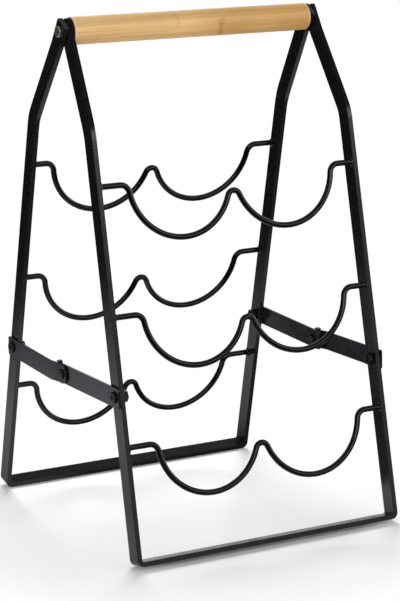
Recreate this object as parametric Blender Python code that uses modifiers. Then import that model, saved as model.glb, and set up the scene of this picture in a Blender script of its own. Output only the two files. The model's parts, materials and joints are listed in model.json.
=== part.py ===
"""Folding wine rack: two leaning bar frames that hinge at a wooden carrying handle, three tiers of
bent wire with two berths each, and a folding stay on each side that locks the frames apart.

Metres, +Z up. The rack stands on Z = 0 with its centre over the origin. The handle runs along X,
the front frame leans from -Y up to the handle and the rear frame leans from +Y. The two frames are
one and the same part: the rear one is the front one turned half round about Z, so each frame is the
outer one on its own right hand side. Each half of the rack that follows is written once and placed
twice in the same way.
"""
import math

import bmesh
import bpy
from mathutils import Matrix, Vector

# Overall form, seen from the side: where the middle line of a leg meets the floor, the shoulder
# where it bends, and the handle's axis
AXIS_HEIGHT = 0.405
FOOT_SPREAD = 0.243
SHOULDER_SPREAD = 0.0933
SHOULDER_HEIGHT = 0.332
# Overall form, seen from the front: width over a frame's two legs, and how much narrower it is
# than that at the shoulders and at the top
FOOT_WIDTH = 0.2402
SHOULDER_TAPER = 0.0039
TOP_TAPER = 0.0116
TOP_STRAIGHT = 0.012

# Flat bar of the frames
BAR_WIDTH = 0.014
BAR_THICKNESS = 0.004
CORNER_RADIUS = 0.0055
SHOULDER_RADIUS = 0.045
ARM_END = 0.0082
ARM_CORNER_RADIUS = 0.001
FRAME_GAP = 0.0006

# Wires, measured along the leg from the underside of the rail to the wire's middle. Two berths share
# the width between the legs, so their size and spacing go with it. They lie a little off the frame's
# middle, towards the frame's own right hand side
WIRE_DIAMETER = 0.0048
LOWEST_WIRE = 0.0931
TIER_PITCH = 0.1012
TIER_NAMES = ("bottom", "middle", "top")
BERTH_SPACING_SHARE = 0.39176
BERTH_RADIUS_SHARE = 0.18693
BERTH_DROP = 0.0003
BEND_RADIUS = 0.0075
PEAK_RADIUS = 0.0055
WIRE_OFFSET = 0.0013

# Handle and its two screws
HANDLE_DIAMETER = 0.022
HANDLE_EDGE_RADIUS = 0.0015
HANDLE_BORE_DEPTH = 0.022
SCREW_DIAMETER = 0.005
SCREW_LENGTH_IN_HANDLE = 0.020
SCREW_HEAD_DIAMETER = 0.0092
SCREW_HEAD_HEIGHT = 0.0016
SCREW_SOCKET_WIDTH = 0.004
SCREW_SOCKET_DEPTH = 0.0009

# Folding stays: pivots on the legs, measured along the leg from the underside of the rail
PIVOT_DISTANCE = 0.133
STAY_SAG = 0.0024
LINK_WIDTH = 0.016
LINK_THICKNESS = 0.0015
LINK_END = 0.0078
LINK_CORNER_RADIUS = 0.002
# The outer link steps in to meet the inner one, between these distances from the middle pivot
CRANK_START = 0.005
CRANK_END = 0.015
# The inner link runs on past the middle pivot and carries the stop tab over the outer link's edge
TAIL_LENGTH = 0.011
TAB_START = 0.004
TAB_LENGTH = 0.004
TAB_THICKNESS = 0.0015
TAB_ROOT = 0.002

# Bolts, nuts and rivets of the stays
BOLT_DIAMETER = 0.005
BOLT_HEAD_DIAMETER = 0.0094
BOLT_HEAD_HEIGHT = 0.0016
BOLT_SOCKET_WIDTH = 0.003
BOLT_SOCKET_DEPTH = 0.0009
BOLT_END = 0.001
NUT_WIDTH = 0.0085
NUT_HEIGHT = 0.0045
RIVET_DIAMETER = 0.004
RIVET_HEAD_DIAMETER = 0.0086
RIVET_HEAD_HEIGHT = 0.0014
RIVET_TAIL_DIAMETER = 0.007
RIVET_TAIL_HEIGHT = 0.0012
HEAD_EDGE_RADIUS = 0.0007

# Gap between pieces that rest on each other, and radial clearance of a shank in its hole
SEAT_GAP = 0.0003
HOLE_CLEARANCE = 0.0003
# How far a cutter or a construction solid runs past the piece it trims
OVERRUN = 0.010
MERGE_DISTANCE = 0.00001

ROUND_STEPS = 32
HOLE_STEPS = 24
SHOULDER_STEPS = 6
CORNER_STEPS = 6
BEND_STEPS = 6
PEAK_STEPS = 8
BERTH_STEPS = 20
END_STEPS = 14
EDGE_STEPS = 3

COLLECTION_NAME = "folding_wine_rack"
HALF_TURN = math.pi
QUARTER_TURN = math.pi / 2

# Sizes that follow from the ones above
SHOULDER_WIDTH = FOOT_WIDTH - SHOULDER_TAPER
TOP_WIDTH = FOOT_WIDTH - TOP_TAPER
BERTH_SPACING = BERTH_SPACING_SHARE * FOOT_WIDTH
BERTH_RADIUS = BERTH_RADIUS_SHARE * FOOT_WIDTH
FRAME_OFFSET = BAR_THICKNESS + FRAME_GAP
LEAN = math.atan2((FOOT_SPREAD - SHOULDER_SPREAD) / 2, SHOULDER_HEIGHT)
RAIL_LIFT = BAR_WIDTH / 2 * math.tan(LEAN)


def lean_point(y, z):
    """A point of the side view, in a frame's own axes: origin on the handle, Z along its legs."""
    down = z - AXIS_HEIGHT
    return Vector((y * math.cos(LEAN) - down * math.sin(LEAN), y * math.sin(LEAN) + down * math.cos(LEAN)))


FOOT_POINT = lean_point(-FOOT_SPREAD / 2, 0)
SHOULDER_POINT = lean_point(-SHOULDER_SPREAD / 2, SHOULDER_HEIGHT)
LEG_SETBACK = -SHOULDER_POINT.x
RAIL_LEVEL = FOOT_POINT.y + RAIL_LIFT


def frame_half_width(level):
    """Half the width over a frame's legs at a height in the frame's own axes."""
    straight = -TOP_STRAIGHT
    if level >= straight:
        return TOP_WIDTH / 2
    if level >= SHOULDER_POINT.y:
        share = (straight - level) / (straight - SHOULDER_POINT.y)
        return (TOP_WIDTH + (SHOULDER_WIDTH - TOP_WIDTH) * share) / 2
    share = (SHOULDER_POINT.y - level) / (SHOULDER_POINT.y - RAIL_LEVEL)
    return (SHOULDER_WIDTH + (FOOT_WIDTH - SHOULDER_WIDTH) * share) / 2


def world_from_frame(y, z):
    """Turns side view coordinates of the front frame's own axes back into the rack's Y and Z."""
    return Vector((y * math.cos(LEAN) + z * math.sin(LEAN), z * math.cos(LEAN) - y * math.sin(LEAN) + AXIS_HEIGHT))


PIVOT_LEVEL = RAIL_LEVEL + PIVOT_DISTANCE
FRONT_PIVOT = world_from_frame(-LEG_SETBACK, PIVOT_LEVEL)
REAR_PIVOT = Vector((-FRONT_PIVOT.x, FRONT_PIVOT.y))
MIDDLE_PIVOT = Vector((0, FRONT_PIVOT.y - STAY_SAG))
LINK_LENGTH = (MIDDLE_PIVOT - FRONT_PIVOT).length
LINK_TILT = math.atan2(STAY_SAG, -FRONT_PIVOT.x)

# Planes of the left stay, as distances outwards from the middle plane X = 0
PIVOT_HALF_WIDTH = frame_half_width(PIVOT_LEVEL)
INNER_LEG_FACE = PIVOT_HALF_WIDTH - FRAME_OFFSET / 2
OUTER_LEG_FACE = PIVOT_HALF_WIDTH + FRAME_OFFSET / 2
INNER_LINK_FACE = INNER_LEG_FACE + SEAT_GAP
OUTER_LINK_FACE = OUTER_LEG_FACE + SEAT_GAP
MIDDLE_LINK_FACE = INNER_LINK_FACE + LINK_THICKNESS + SEAT_GAP

# Planes at the handle
TOP_INNER_FACE = TOP_WIDTH / 2 - FRAME_OFFSET / 2 - BAR_THICKNESS
TOP_OUTER_FACE = TOP_WIDTH / 2 + FRAME_OFFSET / 2
HANDLE_LENGTH = 2 * (TOP_INNER_FACE - SEAT_GAP)


def clear_scene():
    """Removes the objects that a new Blender scene starts with."""
    for item in list(bpy.data.objects):
        bpy.data.objects.remove(item)


def new_collection(name):
    """A collection under the scene's own."""
    collection = bpy.data.collections.new(name)
    bpy.context.scene.collection.children.link(collection)
    return collection


def make_material(name, color, roughness, metallic):
    """A plain Principled material."""
    material = bpy.data.materials.new(name)
    material.use_nodes = True
    shader = material.node_tree.nodes["Principled BSDF"]
    shader.inputs["Base Color"].default_value = (*color, 1)
    shader.inputs["Roughness"].default_value = roughness
    shader.inputs["Metallic"].default_value = metallic
    return material


def black_paint(name):
    return make_material(name, (0.012, 0.012, 0.014), 0.42, 0.0)


def black_zinc(name):
    return make_material(name, (0.008, 0.008, 0.009), 0.3, 0.6)


def bamboo(name):
    return make_material(name, (0.60, 0.39, 0.19), 0.45, 0.0)


def nickel(name):
    return make_material(name, (0.42, 0.38, 0.27), 0.3, 1.0)


def arc(center, radius, start, end, steps):
    """Points of an arc about a centre, from one angle to another, both ends included."""
    points = []
    for step in range(steps + 1):
        angle = start + (end - start) * step / steps
        points.append(Vector((center.x + radius * math.cos(angle), center.y + radius * math.sin(angle))))
    return points


def add_object(name, mesh, collection):
    """Puts a mesh into a collection under its piece's name."""
    item = bpy.data.objects.new(name, mesh)
    collection.objects.link(item)
    return item


def mesh_from_curve(curve, name):
    """Turns a curve into a closed mesh: its caps are welded to its sides, its faces point out."""
    holder = bpy.data.objects.new(name, curve)
    bpy.context.scene.collection.objects.link(holder)
    evaluated = holder.evaluated_get(bpy.context.evaluated_depsgraph_get())
    mesh = bpy.data.meshes.new_from_object(evaluated)
    bpy.data.objects.remove(holder)
    bpy.data.curves.remove(curve)
    shape = bmesh.new()
    shape.from_mesh(mesh)
    bmesh.ops.remove_doubles(shape, verts=shape.verts, dist=MERGE_DISTANCE)
    bmesh.ops.recalc_face_normals(shape, faces=shape.faces)
    shape.to_mesh(mesh)
    shape.free()
    mesh.name = name
    return mesh


def plate_mesh(name, outline, low, high, axes):
    """A flat outline made into a plate between two planes. The axes say where the outline's two
    directions and the plate's thickness point."""
    curve = bpy.data.curves.new(name, "CURVE")
    curve.dimensions = "2D"
    curve.fill_mode = "BOTH"
    curve.extrude = (high - low) / 2
    spline = curve.splines.new("POLY")
    spline.points.add(len(outline) - 1)
    for point, place in zip(spline.points, outline):
        point.co = (place.x, place.y, 0, 1)
    spline.use_cyclic_u = True
    mesh = mesh_from_curve(curve, name)
    across, up, through = (Vector(axis) for axis in axes)
    turn = Matrix((across, up, through)).transposed().to_4x4()
    mesh.transform(Matrix.Translation(through * (low + high) / 2) @ turn)
    return mesh


SIDE_AXES = ((0, 1, 0), (0, 0, 1), (1, 0, 0))
FRONT_AXES = ((1, 0, 0), (0, 0, 1), (0, -1, 0))
PLAN_AXES = ((1, 0, 0), (0, 1, 0), (0, 0, 1))


def tube_mesh(name, points, diameter):
    """A wire of round section through the given points, with filled ends."""
    curve = bpy.data.curves.new(name, "CURVE")
    curve.dimensions = "3D"
    curve.bevel_depth = diameter / 2
    curve.bevel_resolution = 2
    curve.use_fill_caps = True
    spline = curve.splines.new("POLY")
    spline.points.add(len(points) - 1)
    for point, place in zip(spline.points, points):
        point.co = (*place, 1)
    return mesh_from_curve(curve, name)


def apply_modifiers(item):
    """Bakes an object's modifiers into its mesh."""
    evaluated = item.evaluated_get(bpy.context.evaluated_depsgraph_get())
    mesh = bpy.data.meshes.new_from_object(evaluated)
    item.modifiers.clear()
    item.data = mesh


def boolean(item, tool, operation):
    """Cuts, joins or trims a piece with another solid, exactly, and removes that solid."""
    modifier = item.modifiers.new(operation.lower(), "BOOLEAN")
    modifier.operation = operation
    modifier.solver = "EXACT"
    modifier.object = tool
    apply_modifiers(item)
    bpy.data.objects.remove(tool)


def cylinder_along_x(name, radius, low, high, steps, cutters):
    """A solid cylinder or, with few steps, a prism, between two places on the X axis."""
    shape = bmesh.new()
    bmesh.ops.create_cone(
        shape, cap_ends=True, segments=steps, radius1=radius, radius2=radius, depth=high - low
    )
    mesh = bpy.data.meshes.new(name)
    shape.to_mesh(mesh)
    shape.free()
    mesh.transform(Matrix.Rotation(QUARTER_TURN, 4, "Y"))
    mesh.transform(Matrix.Translation(((low + high) / 2, 0, 0)))
    item = add_object(name, mesh, cutters)
    item.hide_render = True
    item.display_type = "WIRE"
    return item


def turned_mesh(name, profile, collection, steps):
    """A solid of revolution about X: the profile's points give the distance along X and the radius,
    and run down the outer side from the end at high X to the end at low X."""
    mesh = bpy.data.meshes.new(name)
    shape = bmesh.new()
    corners = []
    for along, radius in profile:
        corners.append(shape.verts.new((radius, 0, along)))
    for first, second in zip(corners, corners[1:]):
        shape.edges.new((first, second))
    shape.to_mesh(mesh)
    shape.free()
    item = add_object(name, mesh, collection)
    screw = item.modifiers.new("turn", "SCREW")
    screw.axis = "Z"
    screw.steps = steps
    screw.render_steps = steps
    screw.use_merge_vertices = True
    screw.merge_threshold = MERGE_DISTANCE
    apply_modifiers(item)
    item.data.transform(Matrix.Rotation(QUARTER_TURN, 4, "Y"))
    return item


def smooth_round(item):
    """Smooth shading with the sharp edges kept."""
    item.data.shade_smooth()
    item.data.set_sharp_from_angle(angle=math.radians(35))


def finish(item, material):
    """Gives a finished piece its own material."""
    item.data.materials.clear()
    item.data.materials.append(material)
    smooth_round(item)
    return item


def frame_front_outline():
    """The bent bar seen square to its legs: a U with sharp inner and rounded outer corners."""
    levels = (OVERRUN + BAR_WIDTH, -TOP_STRAIGHT, SHOULDER_POINT.y)
    foot_half = FOOT_WIDTH / 2
    center = Vector((foot_half - CORNER_RADIUS, RAIL_LEVEL + CORNER_RADIUS))
    outer = [Vector((frame_half_width(level), level)) for level in levels]
    outer += arc(center, CORNER_RADIUS, 0, -QUARTER_TURN, CORNER_STEPS)
    inner = [Vector((point.x - BAR_THICKNESS, point.y)) for point in outer[:len(levels)]]
    inner += arc(center, CORNER_RADIUS - BAR_THICKNESS, 0, -QUARTER_TURN, CORNER_STEPS)
    right = outer + [Vector((-point.x, point.y)) for point in reversed(outer)]
    hollow = inner + [Vector((-point.x, point.y)) for point in reversed(inner)]
    return right + list(reversed(hollow))


def frame_side_outline():
    """The same bar seen from the side: a straight leg, a bend and a short arm, cut off square a
    little past its eye."""
    half = BAR_WIDTH / 2
    arm = Vector((0, 0)) - SHOULDER_POINT
    bend = math.atan2(arm.x, arm.y)
    run = SHOULDER_RADIUS * math.tan(bend / 2)
    center = Vector((-LEG_SETBACK + SHOULDER_RADIUS, SHOULDER_POINT.y - run))
    low = Vector((-LEG_SETBACK, RAIL_LEVEL - OVERRUN))
    outer = [Vector((low.x - half, low.y))]
    outer += arc(center, SHOULDER_RADIUS + half, HALF_TURN, HALF_TURN - bend, SHOULDER_STEPS)
    along = Vector((math.sin(bend), math.cos(bend))) * (ARM_END - ARM_CORNER_RADIUS)
    across = Vector((-math.cos(bend), math.sin(bend))) * (half - ARM_CORNER_RADIUS)
    for place, start in ((along + across, HALF_TURN - bend), (along - across, QUARTER_TURN - bend)):
        outer += arc(place, ARM_CORNER_RADIUS, start, start - QUARTER_TURN, EDGE_STEPS)
    inner = arc(center, SHOULDER_RADIUS - half, HALF_TURN - bend, HALF_TURN, SHOULDER_STEPS)
    inner += [Vector((low.x + half, low.y))]
    return outer + inner


def frame_reach():
    """How far the frame's parts lie from its own axis plane, front to back."""
    return LEG_SETBACK + BAR_WIDTH + OVERRUN


def build_frame_mesh(name, cutters):
    """The bent bar is the solid that its front outline and its side outline have in common."""
    reach = frame_reach()
    half = FOOT_WIDTH / 2 + OVERRUN
    front = plate_mesh(name, frame_front_outline(), -reach, reach, FRONT_AXES)
    side = plate_mesh(name + "_side", frame_side_outline(), -half, half, SIDE_AXES)
    item = add_object(name, front, cutters)
    boolean(item, add_object(name + "_side", side, cutters), "INTERSECT")
    eye = cylinder_along_x(
        name + "_eye", SCREW_DIAMETER / 2 + HOLE_CLEARANCE, -half, half, HOLE_STEPS, cutters
    )
    boolean(item, eye, "DIFFERENCE")
    pivot = cylinder_along_x(
        name + "_pivot", BOLT_DIAMETER / 2 + HOLE_CLEARANCE, -half, half, HOLE_STEPS, cutters
    )
    pivot.data.transform(Matrix.Translation((0, -LEG_SETBACK, PIVOT_LEVEL)))
    boolean(item, pivot, "DIFFERENCE")
    mesh = item.data
    bpy.data.objects.remove(item)
    return mesh


def half_wire(stub_level, leg_face):
    """One berth of a wire in its own plane, from the weld on the leg to the top of the middle peak."""
    berth = Vector((BERTH_SPACING / 2, stub_level - BERTH_DROP))
    bend_level = stub_level - BEND_RADIUS
    bend_reach = math.sqrt((BERTH_RADIUS + BEND_RADIUS) ** 2 - (bend_level - berth.y) ** 2)
    bend = Vector((berth.x + bend_reach, bend_level))
    peak_drop = math.sqrt((BERTH_RADIUS + PEAK_RADIUS) ** 2 - berth.x ** 2)
    peak = Vector((0, berth.y - peak_drop))
    to_bend = math.atan2(bend.y - berth.y, bend.x - berth.x)
    to_peak = math.atan2(peak.y - berth.y, peak.x - berth.x)
    points = [Vector((leg_face, stub_level))]
    points += arc(bend, BEND_RADIUS, QUARTER_TURN, to_bend + HALF_TURN, BEND_STEPS)
    points += arc(berth, BERTH_RADIUS, to_bend, to_peak, BERTH_STEPS)[1:]
    points += arc(peak, PEAK_RADIUS, to_peak + HALF_TURN, QUARTER_TURN, PEAK_STEPS // 2)[1:]
    return points


def build_wire_mesh(name, tier):
    """A W shaped wire: it lies flush with the outer edge of the legs that it is welded between."""
    stub_level = RAIL_LEVEL + LOWEST_WIRE + tier * TIER_PITCH
    leg_face = frame_half_width(stub_level) - BAR_THICKNESS - SEAT_GAP
    right = half_wire(stub_level, leg_face - WIRE_OFFSET)
    left = half_wire(stub_level, leg_face + WIRE_OFFSET)
    left = [Vector((-point.x, point.y)) for point in reversed(left[:-1])]
    plane = -LEG_SETBACK - BAR_WIDTH / 2 + WIRE_DIAMETER / 2
    centre_line = [(point.x + WIRE_OFFSET, plane, point.y) for point in right + left]
    return tube_mesh(name, centre_line, WIRE_DIAMETER)


def frame_axis(place, turn, parts):
    """An empty on the handle's axis that carries one frame: leaning, and turned to front or rear."""
    axis = bpy.data.objects.new(place + "_frame_axis", None)
    parts.objects.link(axis)
    offset = Matrix.Translation((FRAME_OFFSET / 2, 0, 0))
    lean = Matrix.Rotation(-LEAN, 4, "X")
    height = Matrix.Translation((0, 0, AXIS_HEIGHT))
    axis.matrix_world = height @ Matrix.Rotation(turn, 4, "Z") @ offset @ lean
    return axis


def build_frames(parts, cutters):
    """Both frames with their three wires each."""
    mesh = build_frame_mesh("frame", cutters)
    wires = [build_wire_mesh(tier_name + "_wire", tier) for tier, tier_name in enumerate(TIER_NAMES)]
    for place, turn in (("front", 0), ("rear", HALF_TURN)):
        axis = frame_axis(place, turn, parts)
        frame = add_object(place + "_frame", mesh.copy(), parts)
        frame.parent = axis
        finish(frame, black_paint(place + "_frame_paint"))
        for tier_name, wire_mesh in zip(TIER_NAMES, wires):
            wire = add_object(f"{place}_{tier_name}_wire", wire_mesh.copy(), parts)
            wire.parent = axis
            finish(wire, black_paint(f"{place}_{tier_name}_wire_paint"))


def build_handle(parts):
    """The round handle with rounded ends and a blind bore at each end for its screw."""
    radius = HANDLE_DIAMETER / 2
    bore = SCREW_DIAMETER / 2 + HOLE_CLEARANCE
    half = HANDLE_LENGTH / 2
    edge = Vector((half - HANDLE_EDGE_RADIUS, radius - HANDLE_EDGE_RADIUS))
    right = [(half - HANDLE_BORE_DEPTH, 0), (half - HANDLE_BORE_DEPTH, bore), (half, bore)]
    for point in arc(edge, HANDLE_EDGE_RADIUS, 0, QUARTER_TURN, 2 * EDGE_STEPS):
        right.append((point.x, point.y))
    left = [(-along, out) for along, out in reversed(right)]
    handle = turned_mesh("handle", right + left, parts, ROUND_STEPS)
    handle.location = (0, 0, AXIS_HEIGHT)
    finish(handle, bamboo("handle_bamboo"))


def head_profile(seat, height, radius, edge_radius):
    """A flat topped round head with a rounded rim, from its middle down to its seat."""
    edge = Vector((seat + height - edge_radius, radius - edge_radius))
    points = [(seat + height, 0)]
    for point in arc(edge, edge_radius, 0, QUARTER_TURN, EDGE_STEPS):
        points.append((point.x, point.y))
    points.append((seat, radius))
    return points


def socket(name, width, depth, face, cutters):
    """A hexagonal cutter for the key socket in a head whose top lies at the given place."""
    return cylinder_along_x(name, width / math.sqrt(3), face - depth, face + OVERRUN, 6, cutters)


def place_on_side(item, side, at):
    """Sets a piece that was made along +X on the left or the right of the rack, facing out."""
    if side == "left":
        item.data.transform(Matrix.Rotation(HALF_TURN, 4, "Z"))
    item.location = (0, at.x, at.y)


def build_handle_screws(parts, cutters):
    """A screw at each end: through both legs' eyes into the handle's bore."""
    seat = TOP_OUTER_FACE + SEAT_GAP
    end = TOP_INNER_FACE - SCREW_LENGTH_IN_HANDLE
    for side in ("left", "right"):
        name = side + "_handle_screw"
        profile = head_profile(seat, SCREW_HEAD_HEIGHT, SCREW_HEAD_DIAMETER / 2, HEAD_EDGE_RADIUS)
        profile += [(seat, SCREW_DIAMETER / 2), (end, SCREW_DIAMETER / 2), (end, 0)]
        screw = turned_mesh(name, profile, parts, ROUND_STEPS)
        top = seat + SCREW_HEAD_HEIGHT
        boolean(screw, socket(name + "_socket", SCREW_SOCKET_WIDTH, SCREW_SOCKET_DEPTH, top, cutters), "DIFFERENCE")
        place_on_side(screw, side, Vector((0, AXIS_HEIGHT)))
        finish(screw, nickel(name + "_nickel"))


def corner_outline(center, radius, quarter, steps):
    """A rounded corner, given by which quarter turn it starts at."""
    return arc(center, radius, quarter * QUARTER_TURN, (quarter + 1) * QUARTER_TURN, steps)


def link_outline(tail):
    """A strip seen from the side, from its middle pivot at the origin to its leg pivot along +Y. The
    leg end is cut off square with small corners. The middle end is the same with a tail and round
    without one."""
    half = LINK_WIDTH / 2
    radius = LINK_CORNER_RADIUS
    side = half - radius
    leg_end = LINK_LENGTH + LINK_END - radius
    points = corner_outline(Vector((leg_end, -side)), radius, -1, CORNER_STEPS)
    points += corner_outline(Vector((leg_end, side)), radius, 0, CORNER_STEPS)
    if not tail:
        return points + arc(Vector((0, 0)), half, QUARTER_TURN, 3 * QUARTER_TURN, END_STEPS)
    tail_end = radius - TAIL_LENGTH
    points += corner_outline(Vector((tail_end, side)), radius, 1, CORNER_STEPS)
    points += corner_outline(Vector((tail_end, -side)), radius, 2, CORNER_STEPS)
    return points


def cranked_plan():
    """The outer link seen from above, as distance outwards and distance from the middle pivot."""
    thick = LINK_THICKNESS
    low = -LINK_WIDTH
    high = LINK_LENGTH + LINK_WIDTH
    inner_side = [(MIDDLE_LINK_FACE, low), (MIDDLE_LINK_FACE, CRANK_START)]
    inner_side += [(OUTER_LINK_FACE, CRANK_END), (OUTER_LINK_FACE, high)]
    outer_side = [(face + thick, along) for face, along in reversed(inner_side)]
    return [Vector(point) for point in inner_side + outer_side]


def link_holes(item, cutters):
    """Drills a link at its two pivots."""
    for along, diameter in ((0, RIVET_DIAMETER), (LINK_LENGTH, BOLT_DIAMETER)):
        name = item.name + "_hole"
        radius = diameter / 2 + HOLE_CLEARANCE
        low = INNER_LINK_FACE - OVERRUN
        high = OUTER_LINK_FACE + OVERRUN
        hole = cylinder_along_x(name, radius, low, high, HOLE_STEPS, cutters)
        hole.data.transform(Matrix.Translation((0, along, 0)))
        boolean(item, hole, "DIFFERENCE")


def tab_outline():
    """The stop tab seen along the link: it rises from the inner link's edge and bends outwards. The
    end of it rests on the outer link, whose edge rises away from the middle pivot."""
    foot = LINK_WIDTH / 2 - TAB_ROOT
    rise = (TAB_START + TAB_LENGTH) * math.tan(2 * LINK_TILT)
    under = LINK_WIDTH / 2 + SEAT_GAP + rise
    top = under + TAB_THICKNESS
    return [
        Vector((INNER_LINK_FACE, foot)),
        Vector((INNER_LINK_FACE + LINK_THICKNESS, foot)),
        Vector((INNER_LINK_FACE + LINK_THICKNESS, under)),
        Vector((MIDDLE_LINK_FACE + LINK_THICKNESS, under)),
        Vector((MIDDLE_LINK_FACE + LINK_THICKNESS, top)),
        Vector((INNER_LINK_FACE, top)),
    ]


def build_inner_link(name, parts, cutters):
    """A flat strip with the stop tab on its tail, from the middle pivot along +Y."""
    high = INNER_LINK_FACE + LINK_THICKNESS
    mesh = plate_mesh(name, link_outline(True), INNER_LINK_FACE, high, SIDE_AXES)
    item = add_object(name, mesh, parts)
    tab = plate_mesh(name + "_tab", tab_outline(), TAB_START, TAB_START + TAB_LENGTH, FRONT_AXES)
    boolean(item, add_object(name + "_tab", tab, cutters), "UNION")
    return item


def build_outer_link(name, parts, cutters):
    """A cranked strip, from the middle pivot along +Y: what its side and its plan have in common."""
    low = INNER_LINK_FACE - OVERRUN
    high = OUTER_LINK_FACE + OVERRUN
    item = add_object(name, plate_mesh(name, link_outline(False), low, high, SIDE_AXES), parts)
    plan = plate_mesh(name + "_plan", cranked_plan(), -LINK_WIDTH, LINK_WIDTH, PLAN_AXES)
    boolean(item, add_object(name + "_plan", plan, cutters), "INTERSECT")
    return item


def build_link(name, side, layer, end, parts, cutters):
    """One link of a stay, between the middle pivot and the pivot on the front or the rear leg. The
    front link's origin is on its leg pivot and the rear link's is on the middle pivot."""
    item = {"inner": build_inner_link, "outer": build_outer_link}[layer](name, parts, cutters)
    link_holes(item, cutters)
    if side == "left":
        mirror_mesh(item.data, Vector((1, 0, 0)))
    if end == "front":
        mirror_mesh(item.data, Vector((0, 1, 0)))
        item.data.transform(Matrix.Translation((0, LINK_LENGTH, 0)))
    pivot = FRONT_PIVOT if end == "front" else MIDDLE_PIVOT
    item.location = (0, pivot.x, pivot.y)
    item.rotation_euler = (-LINK_TILT if end == "front" else LINK_TILT, 0, 0)
    finish(item, black_paint(name + "_paint"))


def mirror_mesh(mesh, axis):
    """Mirrors a mesh across the plane square to an axis and keeps its faces pointing out."""
    mesh.transform(Matrix.Scale(-1, 4, axis))
    mesh.flip_normals()


def bolt_profile(seat, low):
    """A bolt from the top of its head to the end of its shank."""
    radius = BOLT_DIAMETER / 2
    profile = head_profile(seat, BOLT_HEAD_HEIGHT, BOLT_HEAD_DIAMETER / 2, HEAD_EDGE_RADIUS)
    return profile + [(seat, radius), (low, radius), (low, 0)]


def build_bolt(name, side, seat, low, pivot, parts, cutters):
    """A round head with a key socket, and as much shank as reaches down to the given plane."""
    bolt = turned_mesh(name, bolt_profile(seat, low), parts, ROUND_STEPS)
    top = seat + BOLT_HEAD_HEIGHT
    boolean(bolt, socket(name + "_socket", BOLT_SOCKET_WIDTH, BOLT_SOCKET_DEPTH, top, cutters), "DIFFERENCE")
    place_on_side(bolt, side, pivot)
    finish(bolt, black_zinc(name + "_zinc"))


def build_nut(name, side, leg_face, with_shank, pivot, parts, cutters):
    """A hexagonal nut inside the leg. Where the stay's loop is open, the nut keeps the end of the
    bolt's shank, which fills the hole in the leg."""
    high = leg_face - BAR_THICKNESS - SEAT_GAP
    low = high - NUT_HEIGHT
    nut = cylinder_along_x(name, NUT_WIDTH / math.sqrt(3), low, high, 6, cutters)
    if with_shank:
        shank = cylinder_along_x(name + "_shank", BOLT_DIAMETER / 2, low - BOLT_END, leg_face, HOLE_STEPS, cutters)
        boolean(nut, shank, "UNION")
    else:
        radius = BOLT_DIAMETER / 2 + HOLE_CLEARANCE
        bore = cylinder_along_x(name + "_bore", radius, low - OVERRUN, high + OVERRUN, HOLE_STEPS, cutters)
        boolean(nut, bore, "DIFFERENCE")
    piece = add_object(name, nut.data, parts)
    bpy.data.objects.remove(nut)
    piece.name = name
    place_on_side(piece, side, pivot)
    finish(piece, black_zinc(name + "_zinc"))


def build_middle_rivet(side, parts):
    """The rivet that joins the two links of a stay."""
    name = side + "_middle_rivet"
    seat = MIDDLE_LINK_FACE + LINK_THICKNESS + SEAT_GAP
    tail = INNER_LINK_FACE - SEAT_GAP
    radius = RIVET_DIAMETER / 2
    profile = head_profile(seat, RIVET_HEAD_HEIGHT, RIVET_HEAD_DIAMETER / 2, HEAD_EDGE_RADIUS)
    profile += [(seat, radius), (tail, radius), (tail, RIVET_TAIL_DIAMETER / 2)]
    profile += [(tail - RIVET_TAIL_HEIGHT, RIVET_TAIL_DIAMETER / 2), (tail - RIVET_TAIL_HEIGHT, 0)]
    rivet = turned_mesh(name, profile, parts, ROUND_STEPS)
    place_on_side(rivet, side, MIDDLE_PIVOT)
    finish(rivet, black_zinc(name + "_zinc"))


def build_stay(side, parts, cutters):
    """The folding stay of one side with its bolts, nuts and rivet. On the left the front leg is the
    inner one, on the right the rear leg is, because the frames are turned copies."""
    layers = {"front": "inner", "rear": "outer"} if side == "left" else {"front": "outer", "rear": "inner"}
    leg_faces = {"inner": INNER_LEG_FACE, "outer": OUTER_LEG_FACE}
    link_faces = {"inner": INNER_LINK_FACE, "outer": OUTER_LINK_FACE}
    pivots = {"front": FRONT_PIVOT, "rear": REAR_PIVOT}
    for end in ("front", "rear"):
        layer = layers[end]
        build_link(f"{side}_{end}_link", side, layer, end, parts, cutters)
        leg_face = leg_faces[layer]
        seat = link_faces[layer] + LINK_THICKNESS + SEAT_GAP
        through = leg_face - BAR_THICKNESS - SEAT_GAP - NUT_HEIGHT - BOLT_END
        whole = end == "front"
        low = through if whole else link_faces[layer]
        build_bolt(f"{side}_{end}_bolt", side, seat, low, pivots[end], parts, cutters)
        build_nut(f"{side}_{end}_nut", side, leg_face, not whole, pivots[end], parts, cutters)
    build_middle_rivet(side, parts)


def main():
    clear_scene()
    parts = new_collection(COLLECTION_NAME)
    cutters = new_collection("cutters")
    build_frames(parts, cutters)
    build_handle(parts)
    build_handle_screws(parts, cutters)
    for side in ("left", "right"):
        build_stay(side, parts, cutters)


main()
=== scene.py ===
# %% [markdown]
# # Dressing a folding wine rack
#
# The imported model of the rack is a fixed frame: two leaning bar frames, three tiers of bent wire in
# each, a round wooden handle and a folding stay on each side. This script gives every piece the form
# and the finish that it has on the real rack, in the same place and at the same size, so that it
# still turns and folds on the model's own joints.
#
# All lengths are metres, +Z is up, the handle runs along X and the front frame leans from -Y.

# %% Load the fixed frame
import json
import math

import bmesh
import bpy
from mathutils import Matrix, Vector, noise


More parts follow.
